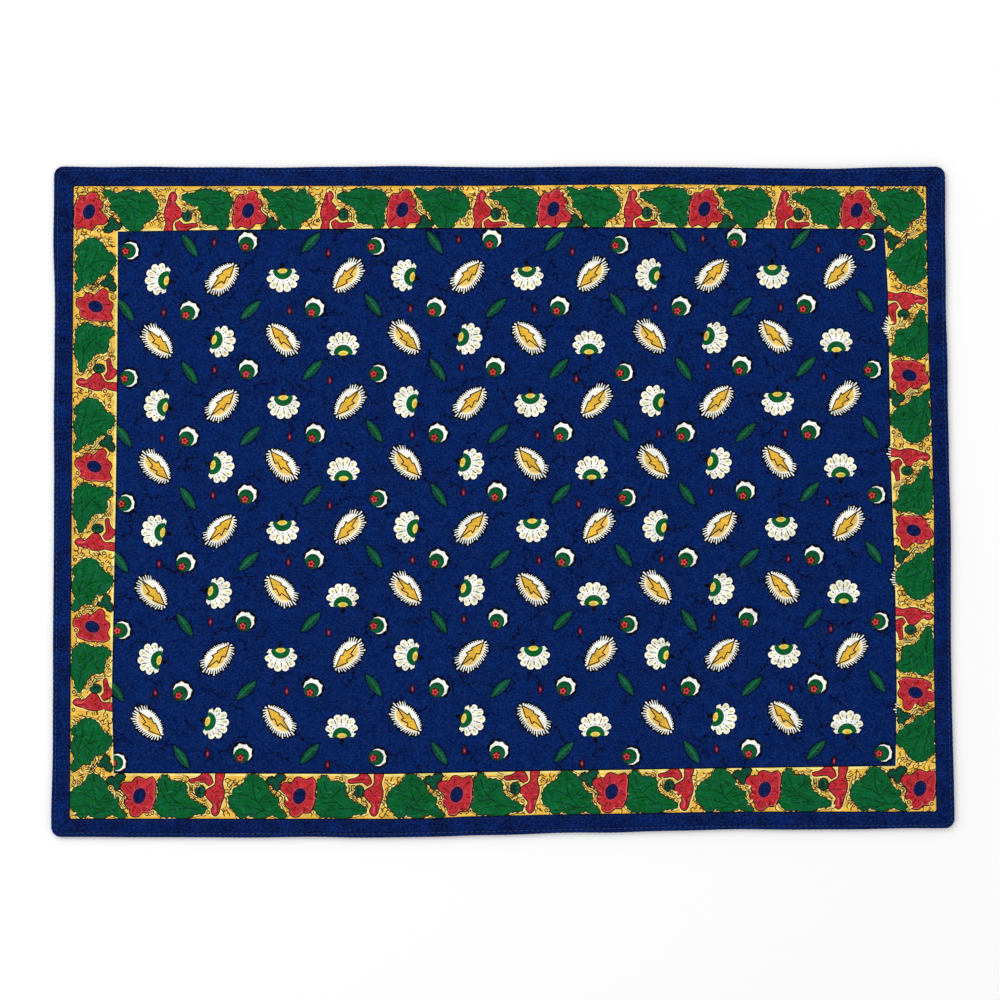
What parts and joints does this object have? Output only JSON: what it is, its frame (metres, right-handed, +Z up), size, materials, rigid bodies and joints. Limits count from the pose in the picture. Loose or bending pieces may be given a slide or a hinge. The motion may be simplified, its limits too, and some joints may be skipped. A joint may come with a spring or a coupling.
{
  "type": "fabric placemat",
  "caption": "Flat rectangular cotton placemat: a printed panel with a sprigged field and floral border, bound all round with a plain folded tape.",
  "frame": {"origin": "middle of the mat's outline box, on the surface that it lies on", "axes": "+X to the right along the long side, +Y to the back along the short side, +Z up out of the printed face"},
  "size_m": [0.4738, 0.352, 0.0029],
  "materials": {
    "printed_cotton": "plain weave cotton, printed",
    "navy_tape": "plain weave cotton tape, stitched"
  },
  "bodies": {
    "root": {"printed_panel": "printed_cotton", "edge_binding": "navy_tape"}
  },
  "joints": []
}
